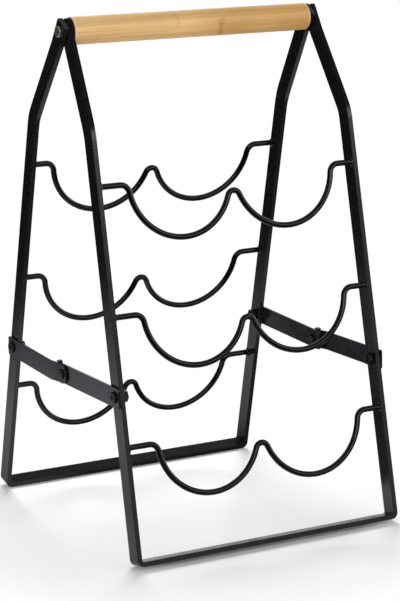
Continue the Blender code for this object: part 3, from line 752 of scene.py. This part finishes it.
def handle_half_outline():
    """The right half: from the bottom of the bore to the middle of the handle."""
    bottom = HANDLE_END - BORE_DEPTH
    points = [(bottom, 0), (bottom, BORE_RADIUS), (HANDLE_END, BORE_RADIUS)]
    points += quarter_round(HANDLE_END - HANDLE_EDGE, HANDLE_RADIUS - HANDLE_EDGE, HANDLE_EDGE, 8)
    points += [(HANDLE_END * share, HANDLE_RADIUS) for share in (0.8, 0.6, 0.4, 0.2)]
    return points


half = handle_half_outline()
shape = bmesh.new()
outline(shape, half + [(0, HANDLE_RADIUS)] + [(-along, out) for along, out in reversed(half)])
spin_about_x(shape, HANDLE_STEPS)
bmesh.ops.translate(shape, verts=shape.verts, vec=(0, 0, AXIS_HEIGHT))
handle = add_piece("turned_handle", shape, bamboo, "handle", 50)
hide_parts("handle")
low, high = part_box("handle")
print(f"handle {2 * HANDLE_END * 1000:.1f} mm long and {2 * HANDLE_RADIUS * 1000:.1f} mm thick,",
      f"the model's {(high.z - low.z) * 1000:.1f} mm")

# %% [markdown]
# ## Screws, bolts and rivets
#
# All of them are turned heads on a plain shank. The heads of the screws and bolts are low, with a
# rounded rim and a hexagonal socket for a key. The socket is what tells them from rivets, so it is
# modelled: the head's top is spun as a flat ring with a round opening, and that opening is bridged
# to a hexagon, which is extruded down and closed with a shallow cone, as a punch leaves it.

# %% Helpers for fasteners
HEAD_HEIGHT = 0.0016
HEAD_ROUND = 0.0007
HEAD_DOME = 0.00012
DOME_SHOULDER = 0.0001
OPENING_SHARE = 0.62
SEAT_CHAMFER = 0.0001
SHANK_RADIUS = 0.0025
SHANK_CHAMFER = 0.0003
FASTENER_STEPS = 48


def socket_in(shape, top, width, depth):
    """A hexagonal socket, bridged into the round opening of a head whose top is at the given place."""
    opening = [edge for edge in shape.edges if edge.is_boundary
               and all(abs(end.co.x - top) < MERGE_DISTANCE for end in edge.verts)]
    made = bmesh.ops.create_circle(shape, cap_ends=False, segments=6, radius=width / math.sqrt(3))
    place = Matrix.Translation((top, 0, 0)) @ Matrix.Rotation(QUARTER_TURN, 4, "Y")
    bmesh.ops.transform(shape, matrix=place, verts=made["verts"])
    hexagon = list({edge for vertex in made["verts"] for edge in vertex.link_edges})
    bmesh.ops.subdivide_edges(shape, edges=hexagon, cuts=3, use_grid_fill=False)
    hexagon = [edge for edge in shape.edges if edge.is_boundary or edge.is_wire]
    hexagon = [edge for edge in hexagon if edge not in opening
               and all(abs(end.co.x - top) < MERGE_DISTANCE for end in edge.verts)]
    bmesh.ops.bridge_loops(shape, edges=opening + hexagon)
    walls = bmesh.ops.extrude_edge_only(shape, edges=hexagon)
    deep = [part for part in walls["geom"] if isinstance(part, bmesh.types.BMVert)]
    bmesh.ops.translate(shape, verts=deep, vec=(-depth, 0, 0))
    rim = [part for part in walls["geom"] if isinstance(part, bmesh.types.BMEdge)
           and all(end in deep for end in part.verts)]
    floor = bmesh.ops.edgeloop_fill(shape, edges=rim)["faces"]
    poked = bmesh.ops.poke(shape, faces=floor)
    bmesh.ops.translate(shape, verts=poked["verts"], vec=(-depth / 4, 0, 0))


def turned_fastener(seat, height, radius, shank, low, socket=None, tail=None):
    """A head with a rounded rim and a shank, pointing out along +X, from its top down to its end."""
    top = seat + height
    dome = [(top + HEAD_DOME, 0), (top + DOME_SHOULDER, radius * 0.4)]
    points = [(top, radius * OPENING_SHARE)] if socket else dome
    points += quarter_round(top - HEAD_ROUND, radius - HEAD_ROUND, HEAD_ROUND, 6)
    points += [(seat + SEAT_CHAMFER, radius), (seat, radius - SEAT_CHAMFER), (seat, shank)]
    if tail:
        tail_radius, tail_height = tail
        points += [(low, shank), (low, tail_radius), (low - tail_height * 0.6, tail_radius)]
        points += [(low - tail_height, tail_radius * 0.75), (low - tail_height, 0)]
    else:
        points += [(low + SHANK_CHAMFER, shank), (low, shank - SHANK_CHAMFER), (low, 0)]
    shape = bmesh.new()
    outline(shape, points)
    spin_about_x(shape, FASTENER_STEPS)
    if socket:
        socket_in(shape, top, *socket)
        bmesh.ops.recalc_face_normals(shape, faces=shape.faces)
    return shape


def place_fastener(shape, side, centre):
    """Turns a piece made along +X to the left if need be, and moves it to its pivot."""
    turn = Matrix.Rotation(HALF_TURN if side == "left" else 0, 4, "Z")
    place = Matrix.Translation((0, centre.y, centre.z)) @ turn
    bmesh.ops.transform(shape, matrix=place, verts=shape.verts)


def middle_of(node):
    """The middle of a node's box."""
    low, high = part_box(node)
    return (low + high) / 2


def span_of(node):
    """A node's nearest and furthest distance from the rack's middle plane, along X."""
    low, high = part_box(node)
    return sorted((abs(low.x), abs(high.x)))


print("fastener helpers are ready")

# %% Handle screws
SCREW_RADIUS = 0.0046
SCREW_SOCKET = (0.004, 0.0009)

for side in ("left", "right"):
    node = side + "_handle_screw"
    inner, outer = span_of(node)
    seat = outer - HEAD_HEIGHT
    shape = turned_fastener(seat, HEAD_HEIGHT, SCREW_RADIUS, SHANK_RADIUS, inner, SCREW_SOCKET)
    place_fastener(shape, side, middle_of(node))
    piece = add_piece(side + "_nickel_screw", shape, nickel, "handle", 35)
    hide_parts(node)
    print(piece.name, f"from {inner * 1000:.1f} to {outer * 1000:.1f} mm off the middle")

# %% Bolts and rivets
RECORD_BODIES = frame["record"]["behaviour"]["bodies"]
BOLT_RADIUS = 0.0047
BOLT_SOCKET = (0.003, 0.0009)
RIVET_HEIGHT = 0.0014
RIVET_RADIUS = 0.0043
RIVET_SHANK = 0.002
RIVET_TAIL = (0.0035, 0.0012)


def body_of(node):
    """The body that a model node belongs to."""
    for body, nodes in RECORD_BODIES.items():
        if node in nodes:
            return body


for side in ("left", "right"):
    for end in ("front", "rear"):
        node = f"{side}_{end}_bolt"
        inner, outer = span_of(node)
        seat = outer - HEAD_HEIGHT
        shape = turned_fastener(seat, HEAD_HEIGHT, BOLT_RADIUS, SHANK_RADIUS, inner, BOLT_SOCKET)
        place_fastener(shape, side, middle_of(node))
        piece = add_piece(f"{side}_{end}_black_bolt", shape, zinc, body_of(node), 35)
        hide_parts(node)
    node = side + "_middle_rivet"
    inner, outer = span_of(node)
    seat = outer - RIVET_HEIGHT
    shape = turned_fastener(seat, RIVET_HEIGHT - HEAD_DOME, RIVET_RADIUS, RIVET_SHANK,
                            inner + RIVET_TAIL[1], tail=RIVET_TAIL)
    place_fastener(shape, side, middle_of(node))
    piece = add_piece(side + "_black_rivet", shape, zinc, body_of(node), 35)
    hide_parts(node)
print("bolts and rivets: 6")

# %% [markdown]
# ## Nuts
#
# A nut is a hexagonal prism whose corners are cut back by a cone on both faces. The model's nut
# already has its true size and its hole or its shank end, so a copy of it gets a small bevel on every
# edge, which does the same for the light.

# %% Nuts
NUT_ROUND = 0.00025

for side in ("left", "right"):
    for end in ("front", "rear"):
        node = f"{side}_{end}_nut"
        shape = merged_copy(node)
        round_edges(shape, NUT_ROUND, 2)
        piece = add_piece(f"{side}_{end}_black_nut", shape, zinc, body_of(node))
        keep_faces_flat(piece)
        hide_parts(node)
print("nuts: 4")

# %% [markdown]
# ## Floor, light and background
#
# The rack stands on a plain pale floor that runs out into a white background. The floor is a disc
# with a matt white finish that keeps the rack's shadow. A little way outside the rack it fades to
# plain white for the camera, so that no edge shows. The background is white only for the camera, and
# the light that really falls on the rack stays at a plain level.
#
# Black steel shows its form only by what it mirrors, so what the gloss sees is set apart. The floor
# that it mirrors is bright in bands and falls away into the dark of the studio further off. It is
# dark in front of the rack too, and in a slanting strip that the right front leg would mirror. A low
# white wall stands behind and to the right, and the room to the left is dark. A faint softbox hangs
# over the rack, and a low strip light in front draws the thin light line along each wire.

# %% Floor
FLOOR_RADIUS = 1.5
FLOOR_DROP = 0.0002
FADE_START = 0.15
FADE_END = 0.27
MIRRORED_STOPS = ((0.07, (0.75, 0.75, 0.78)), (0.12, (0.42, 0.42, 0.45)), (0.25, (0.66, 0.65, 0.71)),
                  (0.42, (0.40, 0.39, 0.44)), (0.55, (0.16, 0.157, 0.18)), (0.70, (0.010, 0.010, 0.012)))
FLOOR_LIFT = 0.03
STRIP_SLANT = 0.545
STRIP_LEFT = (-0.03, 0.02)
STRIP_RIGHT = (0.115, 0.15)
STRIP_REAR = (0.12, 0.20)
RAIL_SIDE = (-0.05, -0.02)
FRONT_SHADE = (-0.20, -0.10)


def pale_floor():
    """A matt floor that fades to white round the rack for the camera, and to dark for the gloss."""
    material, shader = new_material("pale_floor", (0.74, 0.74, 0.74), 0.6)
    shader.inputs["Specular IOR Level"].default_value = 0.2
    place = add_node(material, "ShaderNodeTexCoord")
    length = add_node(material, "ShaderNodeVectorMath", {"operation": "LENGTH"})
    join(material, place.outputs["Object"], length.inputs[0])
    reach = length.outputs["Value"]
    paths = add_node(material, "ShaderNodeLightPath")
    to_camera = paths.outputs["Is Camera Ray"]
    glow = add_node(material, "ShaderNodeEmission", Color=(1, 1, 1, 1))
    join(material, calculate(material, "MULTIPLY", to_camera, FLOOR_LIFT), glow.inputs["Strength"])
    lifted = add_node(material, "ShaderNodeAddShader")
    join(material, shader.outputs["BSDF"], lifted.inputs[0])
    join(material, glow.outputs["Emission"], lifted.inputs[1])
    white = add_node(material, "ShaderNodeEmission", Color=(1, 1, 1, 1), Strength=1.0)
    seen = add_node(material, "ShaderNodeMixShader")
    fade = spread(material, reach, 0.0, 1.0, FADE_START, FADE_END)
    join(material, calculate(material, "MULTIPLY", to_camera, fade), seen.inputs["Fac"])
    join(material, lifted.outputs["Shader"], seen.inputs[1])
    join(material, white.outputs["Emission"], seen.inputs[2])
    outwards = calculate(material, "DIVIDE", reach, FLOOR_RADIUS)
    mirrored = add_node(material, "ShaderNodeEmission")
    join(material, color_ramp(material, outwards, MIRRORED_STOPS), mirrored.inputs["Color"])
    split = add_node(material, "ShaderNodeSeparateXYZ")
    join(material, place.outputs["Object"], split.inputs["Vector"])
    aslant = calculate(material, "MULTIPLY_ADD", split.outputs["Y"], STRIP_SLANT, split.outputs["X"])
    right_part = calculate(material, "MULTIPLY", spread(material, aslant, 0.0, 1.0, *STRIP_RIGHT),
                           spread(material, split.outputs["Y"], 0.1, 1.0, *STRIP_REAR))
    left_part = spread(material, aslant, 1.0, 0.12, *STRIP_LEFT)
    beside_rail = spread(material, split.outputs["Y"], 1.0, 0.0, *RAIL_SIDE)
    bright = calculate(material, "MAXIMUM", left_part, right_part)
    bright = calculate(material, "MAXIMUM", bright, beside_rail)
    front = spread(material, split.outputs["Y"], 0.12, 1.0, *FRONT_SHADE)
    join(material, calculate(material, "MULTIPLY", bright, front), mirrored.inputs["Strength"])
    surface = add_node(material, "ShaderNodeMixShader")
    join(material, paths.outputs["Is Glossy Ray"], surface.inputs["Fac"])
    join(material, seen.outputs["Shader"], surface.inputs[1])
    join(material, mirrored.outputs["Emission"], surface.inputs[2])
    output = material.node_tree.nodes["Material Output"]
    join(material, surface.outputs["Shader"], output.inputs["Surface"])
    return material


shape = bmesh.new()
bmesh.ops.create_circle(shape, cap_ends=True, segments=96, radius=FLOOR_RADIUS)
bmesh.ops.translate(shape, verts=shape.verts, vec=(0, 0, -FLOOR_DROP))
floor_mesh = bpy.data.meshes.new("floor")
shape.to_mesh(floor_mesh)
shape.free()
floor_mesh.materials.append(pale_floor())
floor = bpy.data.objects.new("floor", floor_mesh)
bpy.context.scene.collection.objects.link(floor)
print("floor radius", FLOOR_RADIUS, "m")

# %% World
# Each pair says over which stretch of directions an edge fades. A direction is 1 straight to the
# right, to the rear or up, 0 square to that, and -1 straight away from it.
WALL_TOP = (0.24, 0.46)
WALL_FOOT = (-0.20, -0.04)
WALL_REAR = (-0.35, 0.1)
WALL_RIGHT = (-0.33, 0.15)
WALL_SIDE = (0.55, 0.85)
SOFTBOX_FRONT = (-0.34, -0.24)
SOFTBOX_REAR = (0.50, 0.65)
SOFTBOX_FOOT = (0.50, 0.60)
SOFTBOX_STRENGTH = 0.4
STRIP_LIGHT_REAR = (-0.70, -0.55)
STRIP_LIGHT_FOOT = (0.22, 0.28)
STRIP_LIGHT_TOP = (0.46, 0.54)
STRIP_LIGHT_STRENGTH = 2.0
FILL_REAR = (-0.7, 0.2)
FILL_TOP = (0.3, 0.7)


def studio_world():
    """White for the camera; a wall, a softbox and a strip light for the gloss; plain light for the
    rack, stronger from the front than from behind and from above."""
    world = bpy.data.worlds.new("studio")
    world.use_nodes = True
    bpy.context.scene.world = world
    world.node_tree.nodes.clear()
    direction = add_node(world, "ShaderNodeTexCoord")
    split = add_node(world, "ShaderNodeSeparateXYZ")
    join(world, direction.outputs["Generated"], split.inputs["Vector"])
    to_right, to_rear, up = split.outputs["X"], split.outputs["Y"], split.outputs["Z"]
    wall = spread(world, up, 1.15, 0.04, *WALL_TOP)
    behind = calculate(world, "MULTIPLY", spread(world, to_rear, 0.38, 1.0, *WALL_REAR),
                       spread(world, to_right, 0.008, 1.0, *WALL_RIGHT))
    beside = spread(world, to_right, 0.0, 1.0, *WALL_SIDE)
    wall = calculate(world, "MULTIPLY", wall, calculate(world, "MAXIMUM", behind, beside))
    wall = calculate(world, "MULTIPLY", wall, spread(world, up, 0.04, 1.0, *WALL_FOOT))
    box = calculate(world, "MULTIPLY", spread(world, to_rear, 0, 1, *SOFTBOX_FRONT),
                    spread(world, to_rear, 1, 0, *SOFTBOX_REAR))
    box = calculate(world, "MULTIPLY", box, spread(world, up, 0, 1, *SOFTBOX_FOOT))
    tube = calculate(world, "MULTIPLY", spread(world, to_rear, 1, 0, *STRIP_LIGHT_REAR),
                     spread(world, up, 0, 1, *STRIP_LIGHT_FOOT))
    tube = calculate(world, "MULTIPLY", tube, spread(world, up, 1, 0, *STRIP_LIGHT_TOP))
    studio = calculate(world, "MULTIPLY_ADD", box, SOFTBOX_STRENGTH, wall)
    studio = calculate(world, "MULTIPLY_ADD", tube, STRIP_LIGHT_STRENGTH, studio)
    gloss = add_node(world, "ShaderNodeBackground", Color=(1, 1, 1, 1))
    join(world, studio, gloss.inputs["Strength"])
    diffuse = add_node(world, "ShaderNodeBackground", Color=(1, 1, 1, 1))
    fill = calculate(world, "MULTIPLY", spread(world, to_rear, 1.5, 0.45, *FILL_REAR),
                     spread(world, up, 1.0, 0.55, *FILL_TOP))
    join(world, fill, diffuse.inputs["Strength"])
    white = add_node(world, "ShaderNodeBackground", Color=(1, 1, 1, 1), Strength=1.0)
    paths = add_node(world, "ShaderNodeLightPath")
    light = add_node(world, "ShaderNodeMixShader")
    join(world, paths.outputs["Is Glossy Ray"], light.inputs["Fac"])
    join(world, diffuse.outputs["Background"], light.inputs[1])
    join(world, gloss.outputs["Background"], light.inputs[2])
    seen = calculate(world, "MAXIMUM", paths.outputs["Is Camera Ray"], paths.outputs["Is Transmission Ray"])
    everything = add_node(world, "ShaderNodeMixShader")
    join(world, seen, everything.inputs["Fac"])
    join(world, light.outputs["Shader"], everything.inputs[1])
    join(world, white.outputs["Background"], everything.inputs[2])
    output = add_node(world, "ShaderNodeOutputWorld")
    join(world, everything.outputs["Shader"], output.inputs["Surface"])
    return world


print("world:", studio_world().name)

# %% Lamps
def soft_box(name, place, target, width, height, power):
    """A rectangular lamp at a place, aimed at a target. The gloss doesn't see it, because what the
    gloss sees is in the world."""
    light = bpy.data.lights.new(name, "AREA")
    light.shape = "RECTANGLE"
    light.size = width
    light.size_y = height
    light.energy = power
    lamp = bpy.data.objects.new(name, light)
    lamp.visible_glossy = False
    bpy.context.scene.collection.objects.link(lamp)
    lamp.location = place
    lamp.rotation_euler = (Vector(target) - Vector(place)).to_track_quat("-Z", "Y").to_euler()
    return lamp


TARGET = (0, 0, 0.2)
LAMP_PLACE = (0.45, 1.10, 1.20)
LAMP_SIZE = (0.8, 0.6)
LAMP_POWER = 35.0

soft_box("overhead_box", LAMP_PLACE, TARGET, *LAMP_SIZE, LAMP_POWER)

# %% [markdown]
# ## The camera
#
# The camera stands in front and to the left of the rack, a little above it, with a long lens, so the
# legs stay nearly parallel in the picture. Its place and turn were fitted to the rack's own edges.

# %% Camera
AZIMUTH = math.radians(-28.572)
ELEVATION = math.radians(13.196)
ROLL = math.radians(-0.371)
CAMERA_PLACE = (-0.83269736, -1.5426569, 0.58669635)
LENS_LENGTH = 129.975
FILM_HEIGHT = 36


def photo_camera():
    """The view direction as a camera matrix, with a slight roll."""
    back = Vector((math.sin(AZIMUTH) * math.cos(ELEVATION), -math.cos(AZIMUTH) * math.cos(ELEVATION),
                   math.sin(ELEVATION)))
    level_right = Vector((math.cos(AZIMUTH), math.sin(AZIMUTH), 0))
    level_up = back.cross(level_right)
    right = level_right * math.cos(ROLL) + level_up * math.sin(ROLL)
    up = level_up * math.cos(ROLL) - level_right * math.sin(ROLL)
    data = bpy.data.cameras.new("photo_view")
    data.sensor_fit = "VERTICAL"
    data.sensor_height = FILM_HEIGHT
    data.lens = LENS_LENGTH
    data.clip_start = 0.05
    camera = bpy.data.objects.new("photo_view", data)
    bpy.context.scene.collection.objects.link(camera)
    turn = Matrix((right, up, back)).transposed().to_4x4()
    camera.matrix_world = Matrix.Translation(CAMERA_PLACE) @ turn
    return camera


bpy.context.scene.camera = photo_camera()
bpy.context.scene.view_settings.view_transform = "Standard"
print("camera at", tuple(round(value, 3) for value in bpy.context.scene.camera.location))

# %% [markdown]
# ## Finish
#
# The scene is updated last, so that every piece stands where its body puts it.

# %% Update the scene
bpy.context.view_layer.update()
